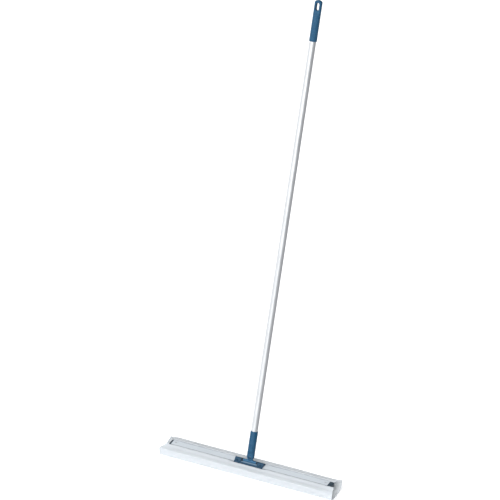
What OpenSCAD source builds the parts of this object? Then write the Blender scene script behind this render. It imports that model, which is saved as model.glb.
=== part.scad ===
// Flat dust mop: a wide cloth-wrapped head on a two-axis joint with a long tube handle.
// Millimetres, +Z up. The origin is the middle of the sole, on the floor.
// X runs along the head, -Y is the front, and the handle leans back towards +Y.

/* [Handle] */
// Distance from the axle to the top of the grip, along the handle
handle_len = 1487; // [900:1:1800]
// Lean of the handle from upright, towards the back
handle_lean = 18.9; // [0:0.1:40]
// Outside diameter of the tube
pole_d = 21; // [18:0.5:26]
// Wall of the tube
pole_wall = 1.2; // [0.8:0.1:2]

/* [Grip] */
// Wall of the grip round the tube
grip_wall = 1.65; // [1.5:0.05:4]
// Length of the grip
grip_len = 130; // [110:1:220]
// Height of the domed top
grip_dome = 9; // [4:0.5:11]
// Length of the flattened end that holds the eye
tab_len = 44; // [40:1:60]
// Thickness of the flattened end
tab_t = 15; // [10:0.5:20]
// Width of the hanging eye
eye_w = 11.5; // [8:0.5:15]
// Length of the hanging eye along the handle
eye_len = 24.5; // [18:0.5:28]
// Distance from the top of the grip to the eye
eye_drop = 9; // [6:0.5:12]
// Chamfer round each mouth of the eye
eye_chamfer = 0.8; // [0.3:0.1:1.5]

/* [Ferrule] */
// Wall of the ferrule round the tube
ferrule_wall = 1.45; // [1.2:0.05:4]
// Height of the ferrule's rim above the axle, along the handle
ferrule_top = 100; // [80:1:160]
// Height of the socket floor above the axle, along the handle
socket_floor = 36; // [35:0.5:45]
// Thickness of each fork prong
prong_t = 2.8; // [2.4:0.1:3]
// Radius of the rounded prong ends
prong_r = 9.5; // [7:0.1:9.8]
// Depth of the fork slot above the pin
slot_above_pin = 16; // [14:0.5:18]
// Distance from the rim down to the ferrule screw
ferrule_screw_drop = 7; // [6:0.5:20]
// Diameter of the ferrule screw's head
ferrule_screw_head_d = 6; // [5:0.5:8]
// Length of the ferrule screw below its head
ferrule_screw_len = 4; // [3:0.5:8]

/* [Joint] */
// Height of the axle above the rail
axle_rise = 4.5; // [4.4:0.1:8]
// Diameter of the axle
axle_d = 4; // [3:0.5:5]
// Outside diameter of the yoke's barrel
barrel_d = 8; // [7:0.1:8.4]
// Length of the yoke's barrel
barrel_len = 46; // [36:1:50]
// Height of the tilt pin above the axle, along the handle
pin_rise = 13.5; // [13.2:0.1:15]
// Diameter of the tilt pin
pin_d = 5; // [4:0.5:6]
// Diameter of the tilt pin's head
pin_head_d = 9; // [8:0.5:10]
// Thickness of the tilt pin's head and of its ring
pin_head_t = 1.5; // [1:0.1:2]
// Thickness of the yoke's tongue
tongue_t = 6; // [5:0.1:6.2]
// Radius of the tongue's round top
tongue_r = 6; // [5:0.1:7]
// Length of each spacer washer on the axle
washer_t = 4.6; // [2:0.1:6]
// Wall of each spacer washer
washer_wall = 2.4; // [1.5:0.1:2.8]

/* [Base bracket] */
// Length of the bracket along the head
base_len = 100; // [80:1:140]
// Thickness of the skirts that straddle the rail
skirt_t = 1.65; // [1.2:0.05:1.9]
// Depth of the skirts below the rail's top
skirt_drop = 3; // [1:0.1:3.2]
// Thickness of the bracket's side rails
base_t = 1.2; // [0.8:0.1:1.3]
// Width of the bracket's side rails on the rail's top
base_rail_w = 3.1; // [2:0.1:3.3]
// Radius of the bearing humps round the axle
hump_r = 5; // [4:0.1:6]
// Bevel on the outer ends of the bearing blocks
block_bevel = 1; // [0.5:0.1:1.4]
// Diameter of the caps that close the axle bores
axle_cap_d = 7; // [6:0.1:8]
// Thickness of the axle caps
axle_cap_t = 1.6; // [1:0.1:2.5]
// Thread diameter of the bracket screws
base_screw_d = 3; // [2.5:0.5:4]
// Head diameter of the bracket screws
base_screw_head_d = 5.4; // [5:0.1:6]
// Distance of the bracket screws from the bracket's ends
base_screw_inset = 9; // [8:0.5:14]
// Distance between the front and back rows of bracket screws
base_screw_row = 16.6; // [15:0.2:17.5]
// Thickness of the nut plate inside the rail
nut_plate_t = 2; // [1.5:0.1:3]

/* [Frame] */
// Length of the extruded frame
frame_len = 548; // [350:1:900]
// Height of the frame's underside above the floor
frame_z = 25; // [18:0.5:25.5]
// Width of the hollow rail
rail_w = 25; // [24:0.5:30]
// Height of the rail's top above the floor
rail_top = 36; // [34:0.5:42]
// Wall of the rail
rail_wall = 1.8; // [1.2:0.1:2]
// Height of the groove floor above the floor
groove_z = 27.5; // [27:0.1:28.5]
// Width of each cloth groove beside the rail
groove_w = 5; // [4.5:0.1:7]
// Height of the groove lip's round centre above the floor
lip_z = 31.6; // [28.5:0.1:32.5]
// Radius of the groove lip
lip_r = 0.9; // [0.5:0.1:1.5]
// Height of the wing edge's round centre above the floor
wing_tip_z = 26.5; // [26:0.1:28]
// Radius of the wing edge
wing_tip_r = 2; // [1.5:0.1:3]

/* [End caps] */
// Length of the part of each end cap that stands past the frame
cap_len = 14; // [6:0.5:20]
// Height of the end cap's lower edge above the floor
cap_bottom = 9; // [5:0.5:18]
// Length of the plug inside the rail
cap_plug_len = 22; // [16:0.5:30]
// Chamfer round the outer end of the cap
cap_chamfer = 2.5; // [1:0.1:4]
// Thread diameter of the end cap screws
cap_screw_d = 3.5; // [3:0.5:4]
// Head diameter of the end cap screws
cap_screw_head_d = 6; // [5:0.5:8]

/* [Pad and cloth] */
// Depth of the wrapped head across its wing edges
head_depth = 82; // [74:1:110]
// Depth of the wrapped sole
sole_depth = 73; // [60:1:100]
// Radius of the pad's lower edges
sole_r = 6; // [3:0.5:9]
// Length of cloth past each end of the frame
cloth_overhang = 26; // [16:0.5:60]
// Distance that the tucked edges stop short of the cloth's ends
flap_trim = 12; // [4:0.5:25]
// Thickness of the cloth
cloth_t = 1.6; // [1:0.1:2]
// Width of the retaining strips in the grooves
strip_w = 2.7; // [2:0.1:2.8]
// Height of the retaining strips
strip_h = 4.6; // [3:0.1:5.5]
// Distance that the retaining strips stop short of the frame's ends
strip_inset = 4.5; // [1:0.5:20]

/* [Clearances] */
// Radial clearance of a turning shaft in its bore
run_gap = 0.05; // [0.02:0.01:0.09]
// Clearance of a fixed pin, plug or tube in its seat
seat_gap = 0.05; // [0.02:0.01:0.1]
// Clearance between faces that slide past each other
side_gap = 0.3; // [0.2:0.05:0.5]
// Clearance between the cloth and what it wraps
cloth_gap = 0.2; // [0.1:0.05:0.4]

/* [Hidden] */
$fn = 64;

blue = "#4a7398";
navy = "#23384c";
black = "#1d2126";
silver = "#cfd6da";
steel = "#aeb6bb";
white = "#e6ebee";
foam = "#b9c0c6";

axle_z = rail_top + axle_rise;
ferrule_d = pole_d + 2 * (ferrule_wall + seat_gap);
grip_d = pole_d + 2 * (grip_wall + seat_gap);
grip_bottom = handle_len - grip_len;
// Solid left between the tube and the flattened end
pole_shy = 6;
pole_top = handle_len - tab_len - pole_shy;
pole_bottom = socket_floor + seat_gap;
// Sideways thickness of the fork
slot_w = tongue_t + 2 * side_gap;
fork_t = slot_w + 2 * prong_t;
// Height above the pin up to which the fork keeps its thickness
fork_straight = 12.5;
fork_widens = pin_rise + fork_straight;
slot_top = pin_rise + slot_above_pin;
// Height above the pin at which the fork reaches its full width
fork_shoulder = 4;
// Edge break on moulded rims
rim_chamfer = 1;
// Overshoot of a cut past the face that it opens
cut = 1;

// Clearance at each face of a washer
washer_gap = 0.2;
// Distance of each bearing block's inner face from the middle
block_in = barrel_len / 2 + washer_t + 2 * washer_gap;
base_screw_x = base_len / 2 - base_screw_inset;
// Distance of the skirts' inner and outer faces from the middle
skirt_in = rail_w / 2 + seat_gap;
skirt_out = skirt_in + skirt_t;
strip_top = groove_z + seat_gap + strip_h;
// Height of the skirts' lower edges, kept clear of the retaining strips
skirt_z = max(rail_top - skirt_drop, strip_top + side_gap);
// Distance of the bracket's bevelled outer edges below the rail's top
shoulder_drop = 0.6;
// Distance of the bracket's open window from the middle, and height of its side rails above the axle
window_half = rail_w / 2 - base_rail_w;
base_top = base_t - axle_rise;
// Depth of the spot faces under the heads of the bracket screws
spot_face = 0.1;
// Depth of the screw pockets' floor below the axle
pocket_drop = spot_face - base_top;
base_screw_head_t = 1.8;
cap_screw_head_t = 1.6;
ferrule_screw_head_t = 1.4;
ferrule_screw_d = 3;
// Distance of the ferrule screw's seat from the handle's axis
ferrule_screw_seat = ferrule_d / 2 - ferrule_wall / 2;
// Nut plate outside the two rows of screws
nut_plate_margin = 3.2;

rail_in_w = rail_w - 2 * rail_wall;
rail_ceiling = rail_top - rail_wall;
rail_round = 1.2;
cap_screw_x = frame_len / 2 - cap_plug_len / 2;

cloth_len = frame_len + 2 * cloth_overhang;
// Total the cloth adds outside the frame and pad
skin = cloth_gap + cloth_t;
tip_c = [head_depth / 2 - skin - wing_tip_r, wing_tip_z];
sole_c = [sole_depth / 2 - skin - sole_r, skin + sole_r];
lip_c = [rail_w / 2 + groove_w + lip_r, lip_z];

// Points along an arc, from one angle to another
function arc(c, r, from, to, steps) =
    [for (i = [0:steps]) let (a = from + (to - from) * i / steps) c + r * [cos(a), sin(a)]];
// Angle of the outward normal where a line touches two circles on their right-hand side
function touch_angle(c1, r1, c2, r2) =
    let (d = c2 - c1) atan2(d[1], d[0]) - acos((r1 - r2) / norm(d));
function flip(points) = [for (i = [len(points) - 1:-1:0]) [-points[i][0], points[i][1]]];
function reverse(points) = [for (i = [len(points) - 1:-1:0]) points[i]];

// Right half of the wrapped outline, offset outwards, from the sole to the groove floor
side_angle = touch_angle(sole_c, sole_r, tip_c, wing_tip_r);
wing_angle = touch_angle(tip_c, wing_tip_r, lip_c, lip_r);
function half_wrap(out) = concat(
    arc(sole_c, sole_r + out, -90, side_angle, 8),
    arc(tip_c, wing_tip_r + out, side_angle, wing_angle, 10),
    arc(lip_c, lip_r + out, wing_angle, 180, 8),
    [[lip_c[0] - lip_r - out, groove_z + (out > 0 ? cloth_gap : 0)]]);
function wrap(out) = concat(flip(half_wrap(out)), half_wrap(out));

// Places a shape drawn across the head, depth first and height second, along the head
module along_head(length) rotate([90, 0, 90]) linear_extrude(length, center = true) children();
// Places a shape in the handle's own frame: axle at the origin, Z along the handle
module on_handle() translate([0, 0, axle_z]) rotate([-handle_lean, 0, 0]) children();
// Extrudes a shape drawn across and along the handle through its front-to-back thickness
module through_handle(depth) rotate([90, 0, 0]) linear_extrude(depth, center = true) children();
// Extrudes a shape drawn as depth and height of the handle across its full width
module across_handle(width) along_head(width) children();

module pan_head(d, t) {
    rotate_extrude() polygon(concat([[0, 0]], [for (a = [0:30:90]) [d / 2 * cos(a) ^ 0.6, t * sin(a)]]));
}

module pole() {
    color(silver) on_handle() translate([0, 0, pole_bottom]) difference() {
        cylinder(d = pole_d, h = pole_top - pole_bottom);
        translate([0, 0, -cut]) cylinder(d = pole_d - 2 * pole_wall, h = pole_top - pole_bottom + 2 * cut);
        translate([0, 0, ferrule_top - ferrule_screw_drop - pole_bottom]) rotate([-90, 0, 0])
            cylinder(d = ferrule_screw_d + 2 * seat_gap, h = pole_d);
    }
}

module eye_outline(grow) {
    half_run = (eye_len - eye_w) / 2;
    for (z = [-half_run, half_run]) translate([0, z]) circle(d = eye_w + 2 * grow);
    square([eye_w + 2 * grow, 2 * half_run], center = true);
}

// One chamfered mouth of the eye, widening towards the face of the flattened end
module eye_mouth() {
    half_run = (eye_len - eye_w) / 2;
    reach = eye_chamfer + cut;
    for (z = [-half_run, half_run]) translate([0, 0, z]) rotate([90, 0, 0])
        cylinder(d1 = eye_w, d2 = eye_w + 2 * reach, h = reach);
    translate([0, 0, -half_run]) linear_extrude(2 * half_run)
        polygon([[-eye_w / 2, 0], [eye_w / 2, 0], [eye_w / 2 + reach, -reach], [-eye_w / 2 - reach, -reach]]);
}

module grip() {
    eye_z = handle_len - eye_drop - eye_len / 2;
    tab_z = handle_len - tab_len;
    dome_z = handle_len - grip_dome;
    r = grip_d / 2;
    color(blue) on_handle() difference() {
        intersection() {
            rotate_extrude() polygon(concat(
                [[0, grip_bottom], [r - rim_chamfer, grip_bottom], [r, grip_bottom + rim_chamfer]],
                [for (a = [0:10:90]) [r * cos(a), dome_z + grip_dome * sin(a)]]));
            across_handle(grip_d + 2 * cut) polygon([
                [-r, grip_bottom], [r, grip_bottom], [r, tab_z - r + tab_t / 2], [tab_t / 2, tab_z],
                [tab_t / 2, handle_len], [-tab_t / 2, handle_len], [-tab_t / 2, tab_z],
                [-r, tab_z - r + tab_t / 2]]);
        }
        translate([0, 0, grip_bottom - cut])
            cylinder(d = pole_d + 2 * seat_gap, h = pole_top + seat_gap - grip_bottom + cut);
        translate([0, 0, eye_z]) through_handle(grip_d) eye_outline(0);
        for (turn = [0, 180]) translate([0, 0, eye_z]) rotate([0, 0, turn])
            translate([0, -tab_t / 2 + eye_chamfer, 0]) eye_mouth();
    }
}

// Front outline of the ferrule: straight sides that draw in to the round prong ends
module ferrule_outline() {
    pin = [0, pin_rise];
    shoulder = [ferrule_d / 2, pin_rise + fork_shoulder];
    edge_a = touch_angle(pin, prong_r, shoulder, 0);
    polygon(concat(arc(pin, prong_r, 180 - edge_a, 360 + edge_a, 16),
        [shoulder, [ferrule_d / 2, ferrule_top], [-ferrule_d / 2, ferrule_top],
        [-shoulder[0], shoulder[1]]]));
}

module ferrule() {
    r = ferrule_d / 2;
    color(blue) on_handle() difference() {
        intersection() {
            rotate_extrude() polygon([[0, 0], [r, 0], [r, ferrule_top - rim_chamfer],
                [r - rim_chamfer / 2, ferrule_top], [0, ferrule_top]]);
            through_handle(ferrule_d + 2 * cut) ferrule_outline();
            across_handle(ferrule_d + 2 * cut) polygon([
                [-fork_t / 2, 0], [fork_t / 2, 0], [fork_t / 2, fork_widens], [r, socket_floor],
                [r, ferrule_top], [-r, ferrule_top], [-r, socket_floor], [-fork_t / 2, fork_widens]]);
        }
        translate([-r - cut, -slot_w / 2, -cut]) cube([ferrule_d + 2 * cut, slot_w, slot_top + cut]);
        translate([0, 0, socket_floor])
            cylinder(d = pole_d + 2 * seat_gap, h = ferrule_top - socket_floor + cut);
        translate([0, 0, pin_rise]) rotate([90, 0, 0]) {
            cylinder(d = pin_d + 2 * seat_gap, h = fork_t + 2 * cut, center = true);
            for (end = [-1, 1]) translate([0, 0, end * fork_t / 2])
                cylinder(d = pin_head_d + 2 * side_gap, h = 2 * pin_head_t, center = true);
        }
        translate([0, 0, ferrule_top - ferrule_screw_drop]) rotate([-90, 0, 0]) {
            cylinder(d = ferrule_screw_d + 2 * seat_gap, h = r + cut);
            translate([0, 0, ferrule_screw_seat])
                cylinder(d = ferrule_screw_head_d + 2 * side_gap, h = ferrule_screw_head_t + cut);
        }
    }
}

module ferrule_screw() {
    color(steel) on_handle() translate([0, 0, ferrule_top - ferrule_screw_drop]) rotate([-90, 0, 0]) {
        translate([0, 0, ferrule_screw_seat]) pan_head(ferrule_screw_head_d, ferrule_screw_head_t);
        translate([0, 0, ferrule_screw_seat - ferrule_screw_len])
            cylinder(d = ferrule_screw_d, h = ferrule_screw_len);
    }
}

module tilt_pin() {
    color(steel) on_handle() translate([0, 0, pin_rise]) rotate([90, 0, 0]) {
        translate([0, 0, -fork_t / 2 + pin_head_t / 2])
            cylinder(d = pin_d, h = fork_t - pin_head_t);
        translate([0, 0, fork_t / 2 - pin_head_t]) pan_head(pin_head_d, pin_head_t);
    }
}

module tilt_pin_ring() {
    color(steel) on_handle() translate([0, fork_t / 2 - pin_head_t, pin_rise]) rotate([-90, 0, 0])
        difference() {
            cylinder(d = pin_head_d, h = pin_head_t);
            translate([0, 0, -cut]) cylinder(d = pin_d + 2 * seat_gap, h = pin_head_t + 2 * cut);
        }
}

module yoke() {
    pin = [0, pin_rise];
    foot = [2 * tongue_r, 0];
    edge_a = touch_angle(foot, 0, pin, tongue_r);
    color(blue) on_handle() difference() {
        union() {
            rotate([0, 90, 0]) cylinder(d = barrel_d, h = barrel_len, center = true);
            through_handle(tongue_t) polygon(concat(
                arc(pin, tongue_r, edge_a, 180 - edge_a, 16), [[-foot[0], 0], foot]));
        }
        rotate([0, 90, 0]) cylinder(d = axle_d + 2 * run_gap, h = barrel_len + 2 * cut, center = true);
        translate([0, 0, pin_rise]) rotate([90, 0, 0])
            cylinder(d = pin_d + 2 * run_gap, h = tongue_t + 2 * cut, center = true);
    }
}

// Cross-section of a bearing block: a round hump whose flanks run down to the side rails
module block_section() {
    root = window_half + base_rail_w / 2;
    edge_a = touch_angle([window_half, base_top], 0, [0, 0], hump_r);
    polygon(concat([[-root, -axle_rise], [root, -axle_rise], [window_half, base_top]],
        arc([0, 0], hump_r, edge_a, 180 - edge_a, 16), [[-window_half, base_top]]));
}

// Cross-section of a side rail: a flat strip on the rail's top with a bevelled skirt outside it
module side_rail_section() {
    bevel = base_t + shoulder_drop;
    foot = skirt_z - axle_z;
    polygon([[window_half, -axle_rise], [skirt_in, -axle_rise], [skirt_in, foot], [skirt_out, foot],
        [skirt_out, base_top - bevel], [skirt_out - bevel, base_top], [window_half, base_top]]);
}

// Bevelled outline of the bracket as seen from the front
module base_outline() {
    half = base_len / 2;
    foot = -axle_rise - cut;
    polygon([[-half, foot], [half, foot], [half, hump_r - block_bevel], [half - block_bevel, hump_r],
        [block_bevel - half, hump_r], [-half, hump_r - block_bevel]]);
}

module base_bracket() {
    block_len = base_len / 2 - block_in;
    color(blue) translate([0, 0, axle_z]) difference() {
        union() {
            intersection() {
                for (side = [-1, 1]) translate([side * (block_in + block_len / 2), 0, 0])
                    along_head(block_len) block_section();
                rotate([90, 0, 0]) linear_extrude(2 * (skirt_out + cut), center = true) base_outline();
            }
            for (turn = [0, 180]) rotate([0, 0, turn]) along_head(base_len) side_rail_section();
        }
        rotate([0, 90, 0]) cylinder(d = axle_d + 2 * seat_gap, h = base_len + 2 * cut, center = true);
        for (side = [-1, 1]) translate([side * base_len / 2, 0, 0]) rotate([0, 90, 0])
            cylinder(d = axle_cap_d + 2 * seat_gap, h = 2 * axle_cap_t, center = true);
        at_base_screws() {
            translate([0, 0, -axle_rise - cut]) cylinder(d = base_screw_d + 2 * seat_gap, h = axle_rise);
            translate([0, 0, -pocket_drop]) cylinder(d = base_screw_head_d + 2 * side_gap, h = 2 * hump_r);
        }
    }
}

module at_base_screws() {
    for (x = [-base_screw_x, base_screw_x], y = [-base_screw_row / 2, base_screw_row / 2])
        translate([x, y, 0]) children();
}

module base_screws() {
    color(steel) translate([0, 0, axle_z]) at_base_screws() {
        translate([0, 0, -pocket_drop]) pan_head(base_screw_head_d, base_screw_head_t);
        translate([0, 0, rail_ceiling - nut_plate_t - axle_z])
            cylinder(d = base_screw_d, h = axle_z - pocket_drop - rail_ceiling + nut_plate_t);
    }
}

module nut_plate() {
    color(steel) translate([0, 0, rail_ceiling - nut_plate_t / 2]) difference() {
        cube([base_len, base_screw_row + nut_plate_margin, nut_plate_t], center = true);
        at_base_screws()
            cylinder(d = base_screw_d + 2 * seat_gap, h = nut_plate_t + 2 * cut, center = true);
    }
}

module axle_rod() {
    color(steel) translate([0, 0, axle_z]) rotate([0, 90, 0])
        cylinder(d = axle_d, h = base_len - 2 * axle_cap_t, center = true);
}

module axle_washers() {
    color(black) for (side = [-1, 1])
        translate([side * (barrel_len / 2 + washer_gap + washer_t / 2), 0, axle_z]) rotate([0, 90, 0])
            difference() {
                cylinder(d = axle_d + 2 * (washer_wall + seat_gap), h = washer_t, center = true);
                cylinder(d = axle_d + 2 * seat_gap, h = washer_t + 2 * cut, center = true);
            }
}

module axle_caps() {
    color(navy) for (side = [-1, 1])
        translate([side * (base_len / 2 - axle_cap_t), 0, axle_z]) rotate([0, side * 90, 0])
            pan_head(axle_cap_d, axle_cap_t);
}

// Extruded frame: thin wings with groove lips and edge beads, and the hollow rail that carries the joint
module frame_section() {
    pocket_in = lip_c[0] + lip_r;
    pocket_w = tip_c[0] - pocket_in;

    difference() {
        union() {
            intersection() {
                polygon(wrap(0));
                translate([-head_depth, frame_z]) square([2 * head_depth, rail_top]);
            }
            polygon(concat([[-rail_w / 2, frame_z + rail_wall], [rail_w / 2, frame_z + rail_wall]],
                arc([rail_w / 2 - rail_round, rail_top - rail_round], rail_round, 0, 90, 4),
                arc([rail_round - rail_w / 2, rail_top - rail_round], rail_round, 90, 180, 4)));
        }
        translate([-rail_in_w / 2, groove_z]) square([rail_in_w, rail_ceiling - groove_z]);
        for (x = [pocket_in, -tip_c[0]]) translate([x, frame_z + rail_wall]) square([pocket_w, rail_top]);
    }
}

module frame_rail() {
    color(white) difference() {
        along_head(frame_len) frame_section();
        translate([0, 0, rail_top]) at_base_screws()
            cylinder(d = base_screw_d + 2 * seat_gap, h = 2 * (rail_wall + cut), center = true);
        for (x = [-cap_screw_x, cap_screw_x]) translate([x, 0, rail_top])
            cylinder(d = cap_screw_d + 2 * seat_gap, h = 2 * (rail_wall + cut), center = true);
    }
}

// End cap for the +X end: a plug inside the rail and a block that closes the frame's end
module end_cap() {
    half = rail_w / 2;
    plug_h = rail_ceiling - groove_z - 2 * seat_gap;
    face = frame_len / 2;
    difference() {
        union() {
            translate([face - cap_plug_len, -rail_in_w / 2 + seat_gap, groove_z + seat_gap])
                cube([cap_plug_len + cut, rail_in_w - 2 * seat_gap, plug_h]);
            intersection() {
                translate([face + cap_len / 2, 0, 0]) along_head(cap_len) polygon(concat(
                    [[-half, cap_bottom], [half, cap_bottom]],
                    arc([half - rail_round, rail_top - rail_round], rail_round, 0, 90, 4),
                    arc([rail_round - half, rail_top - rail_round], rail_round, 90, 180, 4)));
                rotate([90, 0, 0]) linear_extrude(rail_w + 2 * cut, center = true)
                    polygon([[face, 0], [face + cap_len, 0], [face + cap_len, rail_top - cap_chamfer],
                        [face + cap_len - cap_chamfer, rail_top], [face, rail_top]]);
            }
        }
        translate([cap_screw_x, 0, rail_ceiling])
            cylinder(d = cap_screw_d + 2 * seat_gap, h = 2 * (plug_h + cut), center = true);
    }
}

module end_cap_left() {
    color(navy) mirror([1, 0, 0]) end_cap();
}

module end_cap_right() {
    color(navy) end_cap();
}

module end_cap_screws() {
    color(steel) for (x = [-cap_screw_x, cap_screw_x]) translate([x, 0, rail_top]) {
        pan_head(cap_screw_head_d, cap_screw_head_t);
        translate([0, 0, groove_z + seat_gap - rail_top])
            cylinder(d = cap_screw_d, h = rail_top - groove_z - seat_gap);
    }
}

// Soft strip that holds the tucked edge of the cloth in the groove beside the rail
module cloth_strip(side) {
    middle = rail_w / 2 + seat_gap + strip_w / 2;
    foot = strip_top - strip_h;
    color(foam) along_head(frame_len - 2 * strip_inset) polygon(concat(
        [[side * middle - strip_w / 2, foot], [side * middle + strip_w / 2, foot]],
        arc([side * middle, foot + strip_h - strip_w / 2], strip_w / 2, 0, 180, 10)));
}

module strip_front() {
    cloth_strip(-1);
}

module strip_back() {
    cloth_strip(1);
}

module sole_pad() {
    color(foam) along_head(frame_len) intersection() {
        polygon(wrap(0));
        translate([-head_depth, 0]) square([2 * head_depth, frame_z]);
    }
}

// Plan of the gap between the flaps at the +X end, which widens towards the end of the cloth
module flap_gap() {
    tuck = rail_w / 2;
    tip = head_depth / 2;
    end = cloth_len / 2;
    polygon([[end - flap_trim, -tuck], [end, -tip], [end + cut, -tip], [end + cut, tip], [end, tip],
        [end - flap_trim, tuck]]);
}

module dust_cloth() {
    color(white) difference() {
        along_head(cloth_len) polygon(concat(wrap(skin), reverse(wrap(cloth_gap))));
        for (turn = [0, 180]) rotate([0, 0, turn]) translate([0, 0, wing_tip_z])
            linear_extrude(rail_top) flap_gap();
    }
}

pole();
grip();
ferrule();
ferrule_screw();
tilt_pin();
tilt_pin_ring();
yoke();
base_bracket();
axle_rod();
axle_washers();
axle_caps();
base_screws();
nut_plate();
frame_rail();
end_cap_left();
end_cap_right();
end_cap_screws();
strip_front();
strip_back();
sole_pad();
dust_cloth();
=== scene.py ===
"""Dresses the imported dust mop: metres, +Z up, the front towards -Y, the sole on the floor at the origin."""

from math import acos, atan2, cos, hypot, pi, radians, sin

import bpy
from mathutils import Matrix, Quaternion, Vector, noise


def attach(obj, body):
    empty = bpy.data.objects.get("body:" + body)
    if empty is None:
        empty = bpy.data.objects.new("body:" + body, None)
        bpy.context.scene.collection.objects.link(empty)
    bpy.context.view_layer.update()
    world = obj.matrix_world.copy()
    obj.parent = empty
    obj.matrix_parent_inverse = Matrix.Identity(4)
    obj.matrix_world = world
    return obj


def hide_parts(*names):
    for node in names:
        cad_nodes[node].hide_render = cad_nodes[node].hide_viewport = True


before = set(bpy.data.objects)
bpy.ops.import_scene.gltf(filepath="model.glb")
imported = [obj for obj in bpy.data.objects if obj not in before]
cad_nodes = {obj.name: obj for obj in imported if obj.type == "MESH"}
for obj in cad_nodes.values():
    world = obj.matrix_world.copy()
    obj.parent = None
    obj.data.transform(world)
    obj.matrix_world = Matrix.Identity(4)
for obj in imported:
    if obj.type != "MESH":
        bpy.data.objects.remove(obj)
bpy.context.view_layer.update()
bpy.ops.object.select_all(action="DESELECT")


# Pole: a drawn aluminium tube 21 mm across, satin anodised to a pale silver.
# It is pushed into the ferrule and the grip, and the drawing die left fine
# lines along its whole length.
HANDLE_LEAN = radians(18.9)
TUBE_PALE = (0.87, 0.885, 0.9, 1)
TUBE_DULL = (0.74, 0.76, 0.78, 1)
TUBE_LINES = 900.0
TUBE_ROUGHNESS = (0.34, 0.46)
LINE_STRETCH = 0.006
LINE_DEPTH = 0.0001


def add_node(tree, kind, inputs=None, **settings):
    """Adds a shader node; inputs maps a socket to a plain value or to the output that feeds it."""
    made = tree.nodes.new(kind)
    for key, value in settings.items():
        setattr(made, key, value)
    for key, value in (inputs or {}).items():
        if isinstance(value, bpy.types.NodeSocket):
            tree.links.new(value, made.inputs[key])
        else:
            made.inputs[key].default_value = value
    return made


def new_group(name, inputs, outputs):
    """An empty shader group with those sockets, its input sockets by name, and its output node."""
    tree = bpy.data.node_groups.new(name, "ShaderNodeTree")
    for socket, kind in inputs.items():
        tree.interface.new_socket(socket, in_out="INPUT", socket_type=kind)
    for socket in outputs:
        tree.interface.new_socket(socket, in_out="OUTPUT", socket_type="NodeSocketFloat")
    return tree, tree.nodes.new("NodeGroupInput").outputs, tree.nodes.new("NodeGroupOutput")


def new_material(name, **constants):
    """A material with one Principled shader, whose constant sockets are set directly."""
    material = bpy.data.materials.new(name)
    material.use_nodes = True
    shader = material.node_tree.nodes["Principled BSDF"]
    for socket, value in constants.items():
        shader.inputs[socket.replace("_", " ")].default_value = value
    return material, material.node_tree, shader


def mix_colours(tree, share, first, second):
    """The colour between two, by share."""
    return add_node(tree, "ShaderNodeMix", {0: share, 6: first, 7: second}, data_type="RGBA").outputs[2]


def ranged(tree, value, low, high, start=0.0, end=1.0):
    """A value from start to end, mapped to low to high and clamped."""
    return add_node(tree, "ShaderNodeMapRange", {
        "Value": value, "From Min": start, "From Max": end, "To Min": low, "To Max": high}).outputs[0]


def multiplied(tree, first, second):
    """The product of two values."""
    return add_node(tree, "ShaderNodeMath", {0: first, 1: second}, operation="MULTIPLY").outputs[0]


def finish_surface(tree, shader, colour, roughness, height, strength, depth):
    """Feeds a shader its colour, its roughness and a bump of that depth in metres."""
    bump = add_node(tree, "ShaderNodeBump", {"Height": height, "Strength": strength, "Distance": depth})
    tree.links.new(colour, shader.inputs["Base Color"])
    tree.links.new(roughness, shader.inputs["Roughness"])
    tree.links.new(bump.outputs[0], shader.inputs["Normal"])


def dress(names, material):
    """Gives CAD nodes that keep their own shape a finished material."""
    for name in names:
        mesh = cad_nodes[name].data
        mesh.materials.clear()
        mesh.materials.append(material)


# Lines left by a die or a mill, along the Z of the vector that the group is given
drawn_lines, given, made = new_group(
    "drawn_lines", {"Vector": "NodeSocketVector", "Fineness": "NodeSocketFloat"}, ["Lines", "Clouds"])
stretched = add_node(drawn_lines, "ShaderNodeMapping", {
    "Vector": given["Vector"], "Scale": (1, 1, LINE_STRETCH)})
lines = add_node(drawn_lines, "ShaderNodeTexNoise", {
    "Vector": stretched.outputs[0], "Scale": given["Fineness"], "Detail": 4.0, "Roughness": 0.6})
clouds = add_node(drawn_lines, "ShaderNodeTexNoise", {
    "Vector": given["Vector"], "Scale": 16.0, "Detail": 5.0, "Roughness": 0.55})
drawn_lines.links.new(lines.outputs[0], made.inputs["Lines"])
drawn_lines.links.new(clouds.outputs[0], made.inputs["Clouds"])

tube, tree, shader = new_material("anodised_tube", Metallic=1.0)
place = add_node(tree, "ShaderNodeTexCoord").outputs["Object"]
upright = add_node(tree, "ShaderNodeMapping", {"Vector": place, "Rotation": (HANDLE_LEAN, 0, 0)}).outputs[0]
drawn = add_node(tree, "ShaderNodeGroup", {"Vector": upright, "Fineness": TUBE_LINES}, node_tree=drawn_lines)
streaked = mix_colours(tree, ranged(tree, drawn.outputs["Lines"], 0, 1, 0.3, 0.7), TUBE_DULL, TUBE_PALE)
clouded = mix_colours(tree, ranged(tree, drawn.outputs["Clouds"], 0, 0.35, 0.4, 0.75), streaked, TUBE_PALE)
roughness = ranged(tree, drawn.outputs["Clouds"], *TUBE_ROUGHNESS, 0.3, 0.7)
finish_surface(tree, shader, clouded, roughness, drawn.outputs["Lines"], 0.25, LINE_DEPTH)
dress(["pole"], tube)


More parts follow.
